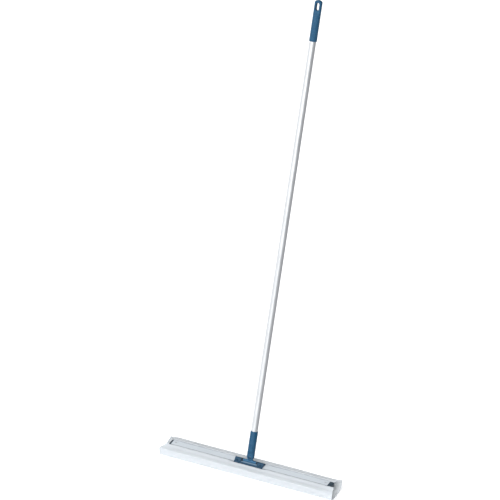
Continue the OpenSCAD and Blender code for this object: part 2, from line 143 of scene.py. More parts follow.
# Grip: a blue polypropylene moulding closed over the top of the tube, flattened
# at its end and pierced by a hanging eye. All its edges come rounded out of the
# mould, and hands have rubbed the outer ones a little paler.
BLUE_DEEP = (0.009, 0.062, 0.131, 1)
BLUE_LIGHT = (0.011, 0.07, 0.144, 1)
BLUE_RUBBED = (0.06, 0.15, 0.26, 1)
BLUE_ROUGHNESS = (0.36, 0.48)
BLUE_WEAR = 0.35
GRIP_EDGE = 0.0011
PEBBLE_SCALE = 2600.0
PEBBLE_DEPTH = 0.00012
WELD_DISTANCE = 1e-6
FLAT_ANGLE = radians(0.5)
ROUND_ANGLE = radians(28)
ROUND_STEPS = 3
SHADE_ANGLE = radians(32)

# The faint clouding and pebbled grain of a moulded surface
moulded_skin, given, made = new_group(
    "moulded_skin", {"Vector": "NodeSocketVector", "Pebble": "NodeSocketFloat"}, ["Clouding", "Grain"])
clouding = add_node(moulded_skin, "ShaderNodeTexNoise", {
    "Vector": given["Vector"], "Scale": 55.0, "Detail": 4.0, "Roughness": 0.5})
grain = add_node(moulded_skin, "ShaderNodeTexNoise", {
    "Vector": given["Vector"], "Scale": given["Pebble"], "Detail": 2.0, "Roughness": 0.5})
moulded_skin.links.new(clouding.outputs[0], made.inputs["Clouding"])
moulded_skin.links.new(grain.outputs[0], made.inputs["Grain"])

# Wear along the rounded edges, broken up so that it never makes an even line
edge_rub, given, made = new_group(
    "edge_rub", {"Vector": "NodeSocketVector", "Amount": "NodeSocketFloat"}, ["Rub"])
on_edge = add_node(edge_rub, "ShaderNodeAttribute", attribute_name="rounded_edge")
broken = add_node(edge_rub, "ShaderNodeTexNoise", {
    "Vector": given["Vector"], "Scale": 260.0, "Detail": 5.0, "Roughness": 0.65})
patchy = ranged(edge_rub, broken.outputs[0], 0, 1, 0.42, 0.68)
rubbed = multiplied(edge_rub, multiplied(edge_rub, on_edge.outputs["Fac"], patchy), given["Amount"])
edge_rub.links.new(rubbed, made.inputs["Rub"])


def moulded_plastic(name, deep, light, worn, roughness, wear):
    """Moulded plastic: clouded colour, fine pebbled grain and rubbed edges."""
    material, tree, shader = new_material(name, IOR=1.49, Specular_IOR_Level=0.25)
    place = add_node(tree, "ShaderNodeTexCoord").outputs["Object"]
    skin = add_node(tree, "ShaderNodeGroup", {
        "Vector": place, "Pebble": PEBBLE_SCALE}, node_tree=moulded_skin)
    rub = add_node(tree, "ShaderNodeGroup", {"Vector": place, "Amount": wear}, node_tree=edge_rub)
    clouded = mix_colours(tree, ranged(tree, skin.outputs["Clouding"], 0, 1, 0.35, 0.65), deep, light)
    colour = mix_colours(tree, rub.outputs["Rub"], clouded, worn)
    dullness = ranged(tree, skin.outputs["Clouding"], *roughness, 0.3, 0.7)
    finish_surface(tree, shader, colour, dullness, skin.outputs["Grain"], 0.3, PEBBLE_DEPTH)
    return material


def rounded_copy(node, name, edge):
    """A copy of a CAD node's shape with its triangles joined to faces and its sharp edges rounded."""
    bpy.ops.object.select_all(action="DESELECT")
    piece = bpy.data.objects.new(name, cad_nodes[node].data.copy())
    bpy.context.scene.collection.objects.link(piece)
    bpy.context.view_layer.objects.active = piece
    piece.select_set(True)
    bpy.ops.mesh.customdata_custom_splitnormals_clear()
    bpy.ops.object.mode_set(mode="EDIT")
    bpy.ops.mesh.select_all(action="SELECT")
    bpy.ops.mesh.remove_doubles(threshold=WELD_DISTANCE)
    bpy.ops.mesh.dissolve_limited(angle_limit=FLAT_ANGLE)
    bpy.ops.object.mode_set(mode="OBJECT")
    piece.data.materials.clear()
    for role in ("body", "edge"):
        piece.data.materials.append(bpy.data.materials.new(role))
    bevel = piece.modifiers.new("rounding", "BEVEL")
    bevel.limit_method = "ANGLE"
    bevel.angle_limit = ROUND_ANGLE
    bevel.width = edge
    bevel.segments = ROUND_STEPS
    bevel.material = 1
    bpy.ops.object.modifier_apply(modifier=bevel.name)
    rounded = piece.data.attributes.new("rounded_edge", "FLOAT", "POINT")
    for face in piece.data.polygons:
        if face.material_index == 1:
            for corner in face.vertices:
                rounded.data[corner].value = 1.0
        face.material_index = 0
    piece.data.materials.clear()
    bpy.ops.object.shade_smooth_by_angle(angle=SHADE_ANGLE)
    return piece


def place_moulding(node, edge, body, material):
    """Stands a rounded copy in the place of its CAD node."""
    piece = rounded_copy(node, node + "_moulding", edge)
    piece.data.materials.append(material)
    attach(piece, body)
    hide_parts(node)
    return piece


blue_plastic = moulded_plastic("blue_plastic", BLUE_DEEP, BLUE_LIGHT, BLUE_RUBBED, BLUE_ROUGHNESS, BLUE_WEAR)
place_moulding("grip", GRIP_EDGE, "handle", blue_plastic)


# Ferrule: a blue moulded socket for the foot of the tube. Below the socket it
# flattens into a fork that straddles the yoke's tongue.
FERRULE_EDGE = 0.0006
place_moulding("ferrule", FERRULE_EDGE, "handle", blue_plastic)


# Ferrule screw, tilt pin and its ring: zinc-plated steel, blued dark. The screw
# keeps the tube in the ferrule, and the pin is riveted over the ring behind the fork.
ZINC_PALE = (0.66, 0.68, 0.7, 1)
ZINC_DULL = (0.46, 0.48, 0.5, 1)
BLUED_PALE = (0.07, 0.13, 0.2, 1)
BLUED_DULL = (0.04, 0.08, 0.14, 1)
STEEL_ROUGHNESS = (0.42, 0.26)
SCRATCH_DEPTH = 0.00005


def plated_steel(name, pale, dull):
    """Plated steel, with cloudy dull patches and tiny scratches."""
    material, tree, shader = new_material(name, Metallic=1.0)
    place = add_node(tree, "ShaderNodeTexCoord").outputs["Object"]
    patches = add_node(tree, "ShaderNodeTexNoise", {
        "Vector": place, "Scale": 420.0, "Detail": 4.0, "Roughness": 0.6}).outputs[0]
    scratches = add_node(tree, "ShaderNodeTexNoise", {
        "Vector": place, "Scale": 1900.0, "Detail": 3.0, "Distortion": 2.0}).outputs[0]
    colour = mix_colours(tree, ranged(tree, patches, 0, 1, 0.35, 0.65), dull, pale)
    roughness = ranged(tree, patches, *STEEL_ROUGHNESS, 0.3, 0.7)
    finish_surface(tree, shader, colour, roughness, scratches, 0.2, SCRATCH_DEPTH)
    return material


zinc_steel = plated_steel("zinc_steel", ZINC_PALE, ZINC_DULL)
blued_steel = plated_steel("blued_steel", BLUED_PALE, BLUED_DULL)
dress(["ferrule_screw", "tilt_pin", "tilt_pin_ring"], blued_steel)


# Yoke: the blue T-shaped knuckle of the joint. Its tongue turns on the tilt pin
# and its long barrel turns on the axle.
YOKE_EDGE = 0.0005
# Painted highlight: the yoke's blue is paler than the grip's, standing in for light along its barrel
YOKE_LIT_DEEP = (0.025, 0.108, 0.213, 1)
YOKE_LIT_LIGHT = (0.029, 0.118, 0.228, 1)
YOKE_RUBBED = (0.1, 0.21, 0.34, 1)
YOKE_WEAR = 0.4
yoke_lit_plastic = moulded_plastic("yoke_lit_plastic", YOKE_LIT_DEEP, YOKE_LIT_LIGHT, YOKE_RUBBED, BLUE_ROUGHNESS, YOKE_WEAR)
place_moulding("yoke", YOKE_EDGE, "yoke", yoke_lit_plastic)


# Base bracket: one moulding in a darker blue, with a bearing block at each end
# and two thin side rails. Between them a web as thin as a card closes the floor
# under the knuckle; its pale blue-grey is a painted highlight of the barrel.
BRACKET_EDGE = 0.0005
BRACKET_DEEP = (0.0105, 0.0455, 0.088, 1)
BRACKET_LIGHT = (0.012, 0.0495, 0.094, 1)
BRACKET_RUBBED = (0.05, 0.11, 0.18, 1)
BRACKET_ROUGHNESS = (0.42, 0.54)
WEB_SIZE = (0.0566, 0.0192, 0.00034)
WEB_Z = 0.03621
WEB_RIM = 0.0012
WEB_DISH = 0.0001
# Painted highlight: the web's pale blue-grey stands in for light on the barrel above it
WEB_HIGHLIGHT_DEEP = (0.19, 0.29, 0.39, 1)
WEB_HIGHLIGHT_PALE = (0.24, 0.35, 0.45, 1)
WEB_ROUGHNESS = (0.4, 0.5)
FACES_AXIS = 0.9
bracket_plastic = moulded_plastic(
    "bracket_plastic", BRACKET_DEEP, BRACKET_LIGHT, BRACKET_RUBBED, BRACKET_ROUGHNESS, BLUE_WEAR)
bracket = place_moulding("base_bracket", BRACKET_EDGE, "head", bracket_plastic)
bpy.ops.object.select_all(action="DESELECT")
bpy.ops.mesh.primitive_cube_add(size=1, location=(0, 0, WEB_Z), scale=WEB_SIZE)
web = bpy.context.object
web.data.materials.append(bracket_plastic)
web.data.materials.append(moulded_plastic("web_painted_highlight", WEB_HIGHLIGHT_DEEP, WEB_HIGHLIGHT_PALE, WEB_HIGHLIGHT_PALE, WEB_ROUGHNESS, 0.0))
bpy.ops.object.transform_apply(location=True, rotation=True, scale=True)
for face in web.data.polygons:
    face.select = face.normal.z > FACES_AXIS
bpy.ops.object.mode_set(mode="EDIT")
bpy.ops.mesh.select_mode(type="FACE")
bpy.ops.mesh.inset(thickness=WEB_RIM, depth=-WEB_DISH)
bpy.ops.object.mode_set(mode="OBJECT")
for face in web.data.polygons:
    face.material_index = 1
bracket.select_set(True)
bpy.context.view_layer.objects.active = bracket
bpy.ops.object.join()


# Axle, washers and caps: a plain steel rod, two black nylon spacers beside the
# barrel, and two small navy caps pressed into the ends of the bores.
NYLON_DEEP = (0.012, 0.013, 0.015, 1)
NYLON_LIGHT = (0.022, 0.024, 0.027, 1)
NYLON_WORN = (0.06, 0.062, 0.065, 1)
NYLON_ROUGHNESS = (0.45, 0.6)
NAVY_DEEP = (0.028, 0.046, 0.063, 1)
NAVY_LIGHT = (0.034, 0.053, 0.071, 1)
NAVY_RUBBED = (0.09, 0.12, 0.15, 1)
NAVY_ROUGHNESS = (0.32, 0.45)
NAVY_WEAR = 0.45
dress(["axle_rod"], zinc_steel)
black_nylon = moulded_plastic("black_nylon", NYLON_DEEP, NYLON_LIGHT, NYLON_WORN, NYLON_ROUGHNESS, 0.0)
dress(["axle_washers"], black_nylon)
navy_plastic = moulded_plastic("navy_plastic", NAVY_DEEP, NAVY_LIGHT, NAVY_RUBBED, NAVY_ROUGHNESS, NAVY_WEAR)
dress(["axle_caps"], navy_plastic)


# Bracket screws and nut plate: four blued pan heads in the bracket's pockets,
# and the zinc-plated steel strip inside the rail that they bite into.
dress(["base_screws"], blued_steel)
dress(["nut_plate"], zinc_steel)


# Frame rail: one aluminium extrusion the length of the head, with wings, two
# cloth grooves and the hollow rail that carries the joint. It is powder-coated
# white, and the coat has a fine orange peel over the lines of the die.
PAINT_PALE = (0.6, 0.645, 0.69, 1)
PAINT_GREY = (0.54, 0.585, 0.63, 1)
PAINT_ROUGHNESS = (0.42, 0.56)
DIE_LINES = 500.0
PEEL_SCALE = 1100.0
PEEL_DEPTH = 0.0001
# The grey of the painted shade in the creases of the rail and the cloth
CREASE_SHADE_GREY = (0.3, 0.33, 0.36, 1)
FRONT_CREASE = (-0.0119, -0.0102)
BACK_CREASE = (0.0106, 0.0121)
BACK_SHADE_SHARE = 0.6

# Painted grey shade in the creases where shade falls, heavier in some places and lighter in others
painted_crease_shade, given, made = new_group(
    "painted_crease_shade", {"Vector": "NodeSocketVector", "Room": "NodeSocketFloat"}, ["Dust"])
drifts = add_node(painted_crease_shade, "ShaderNodeTexNoise", {
    "Vector": given["Vector"], "Scale": 75.0, "Detail": 3.0, "Roughness": 0.6})
thick = ranged(painted_crease_shade, drifts.outputs[0], 0.55, 1, 0.35, 0.6)
painted_crease_shade.links.new(multiplied(painted_crease_shade, thick, given["Room"]), made.inputs["Dust"])

paint, tree, shader = new_material("white_powder_coat", IOR=1.5, Specular_IOR_Level=0.4)
place = add_node(tree, "ShaderNodeTexCoord").outputs["Object"]
along_rail = add_node(tree, "ShaderNodeMapping", {"Vector": place, "Rotation": (0, pi / 2, 0)}).outputs[0]
die = add_node(tree, "ShaderNodeGroup", {"Vector": along_rail, "Fineness": DIE_LINES}, node_tree=drawn_lines)
peel = add_node(tree, "ShaderNodeTexNoise", {"Vector": place, "Scale": PEEL_SCALE, "Detail": 2.0}).outputs[0]
coated = mix_colours(tree, ranged(tree, die.outputs["Clouds"], 0, 1, 0.45, 0.8), PAINT_PALE, PAINT_GREY)
# Painted shade: a grey darkening along the rail's front and back edges, where the cloth's rolled edges meet
# it, lighter at the back
off_centre = add_node(tree, "ShaderNodeSeparateXYZ", {0: place}).outputs["Y"]
beside = add_node(tree, "ShaderNodeMath", {
    0: ranged(tree, off_centre, 1, 0, *FRONT_CREASE),
    1: ranged(tree, off_centre, 0, BACK_SHADE_SHARE, *BACK_CREASE)}, operation="MAXIMUM").outputs[0]
shade_mark = add_node(tree, "ShaderNodeGroup", {"Vector": place, "Room": beside}, node_tree=painted_crease_shade)
shade_painted = mix_colours(tree, shade_mark.outputs["Dust"], coated, CREASE_SHADE_GREY)
coat_height = add_node(tree, "ShaderNodeMath", {0: peel, 1: die.outputs["Lines"]}, operation="ADD").outputs[0]
roughness = ranged(tree, peel, *PAINT_ROUGHNESS, 0.3, 0.7)
finish_surface(tree, shader, shade_painted, roughness, coat_height, 0.2, PEEL_DEPTH)
dress(["frame_rail"], paint)


# End caps: navy mouldings plugged into the ends of the rail, each held by a
# screw through the rail's top.
CAP_EDGE = 0.0012
for cap in ("end_cap_left", "end_cap_right"):
    place_moulding(cap, CAP_EDGE, "head", navy_plastic)
dress(["end_cap_screws"], zinc_steel)


# Sole pad: a slab of closed-cell foam glued under the frame, with rounded lower
# edges. It presses the cloth to the floor and shows only inside the head's ends.
# The head's section, which the cloth follows too
HEAD_DEPTH = 0.082
SOLE_DEPTH = 0.073
SKIN = 0.0018
SOLE_R = 0.006
SOLE_CENTRE = (SOLE_DEPTH / 2 - SKIN - SOLE_R, SKIN + SOLE_R)
WING_R = 0.002
WING_CENTRE = (HEAD_DEPTH / 2 - SKIN - WING_R, 0.0265)
LIP_R = 0.0009
LIP_CENTRE = (0.0184, 0.0316)
GROOVE_FLOOR = 0.0275
FRAME_END = 0.274
FRAME_UNDERSIDE = 0.025
# The slab, kept just inside the section
PAD_INSET = 0.0004
PAD_ROUND = 0.0015
PAD_CROWN = 0.0012
PAD_RINGS = ((0.0012, 0.65), (0.0016, 0.35))
PAD_CORNER_STEPS = 8
PAD_SHADE_ANGLE = radians(50)
RING_DIGITS = 4
FOAM_PALE = (0.5, 0.54, 0.58, 1)
FOAM_DEEP = (0.3, 0.33, 0.36, 1)
FOAM_ROUGHNESS = (0.85, 0.97)
CELL_SCALE = 620.0
CELL_DEPTH = 0.0006


def touch_angle(first, first_r, second, second_r):
    """Angle of the outward normal where a line touches two circles on their right-hand side."""
    across, up = second[0] - first[0], second[1] - first[1]
    return atan2(up, across) - acos((first_r - second_r) / hypot(across, up))


def arc_points(centre, radius, start, end, steps):
    """Points along an arc, with the outward normal at each."""
    angles = [start + (end - start) * step / steps for step in range(steps + 1)]
    return [(centre[0] + radius * cos(a), centre[1] + radius * sin(a), cos(a), sin(a)) for a in angles]


SIDE_ANGLE = touch_angle(SOLE_CENTRE, SOLE_R, WING_CENTRE, WING_R)
WING_ANGLE = touch_angle(WING_CENTRE, WING_R, LIP_CENTRE, LIP_R)

foam, tree, shader = new_material("closed_cell_foam", Sheen_Weight=0.15)
place = add_node(tree, "ShaderNodeTexCoord").outputs["Object"]
cells = add_node(tree, "ShaderNodeTexVoronoi", {
    "Vector": place, "Scale": CELL_SCALE}, feature="SMOOTH_F1").outputs[0]
tone = add_node(tree, "ShaderNodeTexNoise", {"Vector": place, "Scale": 90.0, "Detail": 3.0}).outputs[0]
celled = mix_colours(tree, ranged(tree, cells, 0, 1, 0.1, 0.7), FOAM_DEEP, FOAM_PALE)
toned = mix_colours(tree, ranged(tree, tone, 0, 0.4, 0.4, 0.7), celled, FOAM_PALE)
finish_surface(tree, shader, toned, ranged(tree, tone, *FOAM_ROUGHNESS), cells, 0.6, CELL_DEPTH)

right_side = arc_points(SOLE_CENTRE, SOLE_R - PAD_INSET, -pi / 2, SIDE_ANGLE, PAD_CORNER_STEPS)
foot_y, foot_z, lean_y, lean_z = right_side[-1]
pad_top = FRAME_UNDERSIDE - PAD_INSET
side_top = foot_y - (pad_top - PAD_ROUND - foot_z) * lean_z / lean_y
right_side.append((side_top, pad_top - PAD_ROUND, 1, 0))
right_side.append((side_top - PAD_ROUND, pad_top, 0, 1))
section = [(y, z) for y, z, *_ in right_side]
section += [(-y, z) for y, z in reversed(section)]

bpy.ops.mesh.primitive_cylinder_add(vertices=len(section), radius=HEAD_DEPTH / 2, depth=2 * FRAME_END,
                                    end_fill_type="NGON", rotation=(0, pi / 2, 0))
pad = bpy.context.object
pad.name = "foam_pad"
bpy.ops.object.transform_apply(location=True, rotation=True, scale=True)
ring_order = sorted({round(atan2(v.co.z, v.co.y), RING_DIGITS) for v in pad.data.vertices})
first_corner = min(range(len(section)), key=lambda i: (section[i][1], -section[i][0]))
start = min(range(len(ring_order)), key=lambda i: abs(ring_order[i] + pi / 2))
for vertex in pad.data.vertices:
    turn = ring_order.index(round(atan2(vertex.co.z, vertex.co.y), RING_DIGITS)) - start
    vertex.co.y, vertex.co.z = section[(first_corner + turn) % len(section)]
bpy.ops.object.mode_set(mode="EDIT")
bpy.ops.mesh.select_all(action="SELECT")
bpy.ops.mesh.normals_make_consistent(inside=False)
bpy.ops.mesh.select_all(action="DESELECT")
bpy.ops.object.mode_set(mode="OBJECT")
for face in pad.data.polygons:
    face.select = abs(face.normal.x) > FACES_AXIS
bpy.ops.object.mode_set(mode="EDIT")
bpy.ops.mesh.select_mode(type="FACE")
for ring, rise in PAD_RINGS:
    bpy.ops.mesh.inset(thickness=ring, depth=rise * PAD_CROWN)
bpy.ops.object.mode_set(mode="OBJECT")
bpy.ops.object.shade_smooth_by_angle(angle=PAD_SHADE_ANGLE)
pad.data.materials.append(foam)
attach(pad, "head")
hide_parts("sole_pad")


# Retaining strips: soft grey vinyl, pressed into the grooves over the tucked
# edges of the cloth.
VINYL_PALE = (0.5, 0.53, 0.56, 1)
VINYL_DULL = (0.4, 0.43, 0.46, 1)
VINYL_ROUGHNESS = (0.55, 0.7)
vinyl = moulded_plastic("strip_vinyl", VINYL_DULL, VINYL_PALE, VINYL_PALE, VINYL_ROUGHNESS, 0.0)
dress(["strip_front", "strip_back"], vinyl)


# Dust cloth: one sheet of white needled nonwoven, wrapped round the pad and the
# wings. Its long edges roll over beside the rail and are tucked into the grooves,
# its ends stand open past the caps, and at the left a band is hooked over the cap.
CLOTH_HALF = 0.3
CLOTH_T = 0.0013
CLOTH_COLUMNS = 241
CLOTH_ZONES = (("sole", 10), ("turn", 9), ("side", 10), ("edge", 8), ("flap", 14), ("roll", 12), ("tuck", 6))
CLOTH_WELD = 1e-5
CLOTH_SHADE_ANGLE = radians(60)
HEM_T = 0.003
HEM_WIDTH = 0.006
HEM_RAGGED = 0.0006
CLOTH_OUTSIDE = 0.001
FOOT_R = SOLE_R + CLOTH_OUTSIDE
EDGE_R = WING_R + CLOTH_OUTSIDE
# How quickly the waves of each kind follow one another along the cloth
SLOW_WAVES = 9
QUICK_WAVES = 38
GAPE_WAVES = 58
RAGGED_WAVES = 60
PLEAT_WAVES = 420
PLEAT_DRIFT_WAVES = 14
PLEAT_DRIFT = 5
# Slack, sag and folds of the sides and the flaps
FOOT_SLACK = 0.0016
SLACK_FULL = 1 / 3
SIDE_SLACK = 0.0008
SIDE_RIPPLE = 0.0003
EDGE_PUFF = 0.0007
EDGE_PUFF_CHANGE = 0.0006
FLAP_SAG = 0.0014
FLAP_SAG_CHANGE = 0.6
FLAP_SAG_SKEW = 1.3
FLAP_RIPPLE = 0.0003
PLEAT_RISE = 0.0003
PLEAT_FROM = 0.4
# The rolled edge, its flat stretch beside the bracket, and its leg in the groove
ROLL_INNER = 0.0133
ROLL_GAP = 0.0013
GAPE_SPAN = (-0.3125, 0.3125)
ROLL_WIDE = 0.0031
ROLL_HIGH = 0.002
ROLL_Z = 0.0349
ROLL_START = radians(75)
ROLL_END = radians(250)
FLAT_FROM = 0.068
FLAT_FULL = 0.052
FLAT_INNER = 0.0158
FLAT_WIDE = 0.0008
FLAT_HIGH = 0.0004
FLAT_Z = 0.0331
LEG_Y = 0.01642
LEG_DROP = 0.0012
LEG_FOOT = GROOVE_FLOOR + 0.0011
# Where each flap's rolled edge stops: left back, left front, right back, right front
FLAP_STOPS = {(-1, 1): 0.2895, (-1, -1): 0.2855, (1, 1): 0.289, (1, -1): 0.2965}
# The band at the left: where it is cut free, its two edges, and how it climbs on to the cap
BAND_SHARE = 0.966
BAND_EDGE = 0.2785
BAND_END = 0.2885
BAND_Z = 0.03725
BAND_CLIMB = 0.0035
BAND_STRAIGHT = 0.25
# How the open ends droop, round up, lift and slump, and over which spans across and up
END_SHIFT = {-1: -0.001, 1: 0.0025}
CORNER_DROOP = 0.004
DROOP_ACROSS = (0.014, 0.034)
DROOP_UP = (0.0, 0.02)
END_ROUND = 0.011
ROUND_ACROSS = (0.012, 0.036)
ROUND_UP = (0.0, 0.03)
END_LIFT = 0.0025
LIFT_UP = (0.02, 0.03)
END_SLUMP = Vector((0.0035, 0.0025))
# How far round the rolled edges the painted crease shade begins and is full, at the front and the back
FRONT_SHADE_SPAN = (-0.08, 0.22)
REAR_SHADE_SPAN = (0.15, 0.55)
REAR_SHADE_SHARE = 0.7
CLOTH_PALE = (0.565, 0.598, 0.63, 1)
CLOTH_SHADE = (0.495, 0.53, 0.565, 1)
# Painted light: the inside of the sheet is paler than its face, standing in for light that shines through the
# thin cloth into the open ends
BACKING_PAINTED_LIGHT_PALE = (0.74, 0.77, 0.79, 1)
BACKING_PAINTED_LIGHT_DIM = (0.66, 0.69, 0.72, 1)
CLOTH_ROUGHNESS = (0.82, 0.95)
FIBRE_SCALE = 900.0
LOFT_SCALE = 240.0
NAP_DEPTH = 0.0004


def eased(value, start, end):
    """0 at start, 1 at end, level beyond them and smooth between."""
    share = min(1.0, max(0.0, (value - start) / (end - start)))
    return share * share * (3 - 2 * share)


def between(first, second, share):
    """The value that lies that share of the way from one to the other."""
    return first + (second - first) * share


def arc_place(centre, radius, angle):
    """A point of the head's section on a circle."""
    return Vector((centre[0] + radius * cos(angle), centre[1] + radius * sin(angle)))


def roll_place(along, side, angle):
    """A point on the rolled edge, which gapes here and there and lies flat beside the bracket."""
    gape = ROLL_GAP * eased(noise.noise((along * GAPE_WAVES, side * 3 + 0.7, 2.5)), *GAPE_SPAN)
    flat = eased(abs(along), FLAT_FROM, FLAT_FULL)
    inner = between(ROLL_INNER + gape, FLAT_INNER, flat)
    across = inner + between(ROLL_WIDE, FLAT_WIDE, flat) * (1 + cos(angle))
    return Vector((across, between(ROLL_Z, FLAT_Z, flat) + between(ROLL_HIGH, FLAT_HIGH, flat) * sin(angle)))


def cloth_line(zone, share, along, side):
    """The cloth's middle line on one side of the head, as distance from the centre and height."""
    slow = noise.noise((along * SLOW_WAVES, side * 5, 1.5))
    quick = noise.noise((along * QUICK_WAVES, side * 5 + share * 2, 4.5))
    loose = Vector((FOOT_SLACK, 0)) if side < 0 else Vector((0, 0))
    puff = EDGE_PUFF + EDGE_PUFF_CHANGE * slow
    if zone == "sole":
        return Vector((SOLE_CENTRE[0] * share, SOLE_CENTRE[1] - FOOT_R))
    if zone == "turn":
        angle = between(-pi / 2, SIDE_ANGLE, share)
        return arc_place(SOLE_CENTRE, FOOT_R, angle) + loose * eased(share, 0, SLACK_FULL)
    if zone == "side":
        foot = arc_place(SOLE_CENTRE, FOOT_R, SIDE_ANGLE) + loose
        out = Vector((cos(SIDE_ANGLE), sin(SIDE_ANGLE)))
        slack = sin(pi * share) * (SIDE_SLACK * (1 + slow) + SIDE_RIPPLE * quick)
        return foot.lerp(arc_place(WING_CENTRE, EDGE_R, SIDE_ANGLE), share) + out * slack
    if zone == "edge":
        angle = between(SIDE_ANGLE, WING_ANGLE, share)
        return arc_place(WING_CENTRE, EDGE_R + puff * eased(share, 0, 1), angle)
    if zone == "flap":
        drift = PLEAT_DRIFT * noise.noise((along * PLEAT_DRIFT_WAVES, 2, side))
        pleat = max(0.0, sin(along * PLEAT_WAVES + drift)) * sin(pi * eased(share, PLEAT_FROM, 1))
        sag = FLAP_SAG * (1 + FLAP_SAG_CHANGE * slow) * sin(pi * share ** FLAP_SAG_SKEW) ** 2
        rise = FLAP_RIPPLE * quick * sin(pi * share) + PLEAT_RISE * pleat
        wing_edge = arc_place(WING_CENTRE, EDGE_R + puff, WING_ANGLE)
        return wing_edge.lerp(roll_place(along, side, ROLL_START), share) + Vector((0, rise - sag))
    if zone == "roll":
        return roll_place(along, side, between(ROLL_START, ROLL_END, share))
    under = roll_place(along, side, ROLL_END)
    leg = (under, Vector((LEG_Y, under.y)), Vector((LEG_Y, under.y - LEG_DROP)), Vector((LEG_Y, LEG_FOOT)))
    rest = 1 - share
    weights = (rest ** 3, 3 * rest ** 2 * share, 3 * rest * share ** 2, share ** 3)
    return sum((point * weight for point, weight in zip(leg, weights)), Vector((0, 0)))


def band_line(share, along, side):
    """The line of the hooked band, from the end of a flap over the cap to the middle."""
    start = roll_place(along, side, ROLL_START)
    across = start.x * (1 - share)
    return Vector((across, between(start.y, BAND_Z, eased(start.x - across, 0, BAND_CLIMB))))


def open_end(zone, step, place, side, end):
    """How a point moves at the very end of the cloth, where nothing holds it."""
    if (side, end) == (1, -1):
        return Vector((0, -CORNER_DROOP * eased(place.x, *DROOP_ACROSS) * eased(place.y, *DROOP_UP)))
    if (side, end) == (1, 1):
        rounding = eased(place.x, *ROUND_ACROSS) * (1 - eased(place.y, *ROUND_UP)) ** 2
        return Vector((0, END_ROUND * rounding + END_LIFT * eased(place.y, *LIFT_UP)))
    if (side, end) == (-1, 1):
        return -END_SLUMP * {"side": step ** 2, "edge": 1, "flap": (1 - step) ** 2}.get(zone, 0)
    return Vector((0, 0))


half_rows = [(zone, step / steps) for zone, steps in CLOTH_ZONES for step in range(steps)] + [("tuck", 1.0)]
tucked = [zone in ("roll", "tuck") for zone, _ in half_rows].index(True)
last_row = len(half_rows) - 1
cloth_rows = [(-1, row) for row in range(last_row, 0, -1)] + [(1, row) for row in range(last_row + 1)]
girth = [0.0]
for (side, row), (next_side, next_row) in zip(cloth_rows, cloth_rows[1:]):
    here = cloth_line(*half_rows[row], CLOTH_HALF / 2, side)
    there = cloth_line(*half_rows[next_row], CLOTH_HALF / 2, next_side)
    girth.append(girth[-1] + hypot(there.x * next_side - here.x * side, there.y - here.y))

bpy.ops.object.select_all(action="DESELECT")
bpy.ops.mesh.primitive_grid_add(x_subdivisions=CLOTH_COLUMNS - 1, y_subdivisions=len(cloth_rows) - 1, size=1)
cloth = bpy.context.object
cloth.name = "nonwoven_cloth"
bpy.ops.object.transform_apply(location=True, rotation=True, scale=True)
hem = cloth.vertex_groups.new(name="hem")
flat_places = {}
crease_shade_shares = {}
hooked = {}
for vertex in cloth.data.vertices:
    share = vertex.co.x * 2
    line = round((vertex.co.y + 0.5) * (len(cloth_rows) - 1))
    side, row = cloth_rows[line]
    zone, step = half_rows[row]
    end = 1 if share > 0 else -1
    over = max(0.0, (row - tucked) / (last_row - tucked))
    if row >= tucked:
        hooked[vertex.index] = share < -BAND_SHARE
    inward = 1.0 if row >= tucked else step if zone == "flap" else 0.0
    reach = between(CLOTH_HALF, FLAP_STOPS[end, side], inward)
    along = share * reach
    place = cloth_line(zone, step, along, side)
    if hooked.get(vertex.index):
        reach = between(reach, BAND_END, over)
        straight = -between(BAND_EDGE, reach, (-share - BAND_SHARE) / (1 - BAND_SHARE))
        along = between(share * reach, straight, eased(over, 0, BAND_STRAIGHT))
        place = band_line(over, along, side)
    edge_share = eased(abs(along), reach - HEM_WIDTH, reach)
    rag_place = (share * 3, place.x * side * RAGGED_WAVES, place.y * RAGGED_WAVES)
    ragged = HEM_RAGGED * edge_share * noise.noise(rag_place)
    lift = edge_share * (HEM_T - CLOTH_T) / 2 * {"sole": 1, "turn": 1 - step}.get(zone, 0)
    past_frame = eased(abs(along), FRAME_END, CLOTH_HALF)
    place = place + open_end(zone, step, place, side, end) * past_frame
    vertex.co = (along + ragged + END_SHIFT[end] * past_frame, place.x * side, place.y + lift)
    flat_places[vertex.index] = (along, girth[line])
    # Painted shade in the creases: full in the tuck, fading in along the rolled edge, lighter at the back
    if row >= tucked and not hooked[vertex.index]:
        shade_share = eased(step, *FRONT_SHADE_SPAN) if side < 0 else REAR_SHADE_SHARE * eased(step, *REAR_SHADE_SPAN)
        crease_shade_shares[vertex.index] = 1.0 if zone == "tuck" else shade_share
    hem.add([vertex.index], edge_share, "REPLACE")
for corner in cloth.data.loops:
    cloth.data.uv_layers.active.data[corner.index].uv = flat_places[corner.vertex_index]
crease_shade = cloth.data.attributes.new("crease_shade", "FLOAT", "POINT")
for index, share in crease_shade_shares.items():
    crease_shade.data[index].value = share
bpy.ops.object.mode_set(mode="EDIT")
bpy.ops.mesh.select_all(action="DESELECT")
bpy.ops.object.mode_set(mode="OBJECT")
for face in cloth.data.polygons:
    held = [hooked.get(corner) for corner in face.vertices]
    face.select = None not in held and True in held and False in held
bpy.ops.object.mode_set(mode="EDIT")
bpy.ops.mesh.delete(type="FACE")
bpy.ops.mesh.select_all(action="SELECT")
bpy.ops.mesh.remove_doubles(threshold=CLOTH_WELD)
bpy.ops.object.mode_set(mode="OBJECT")


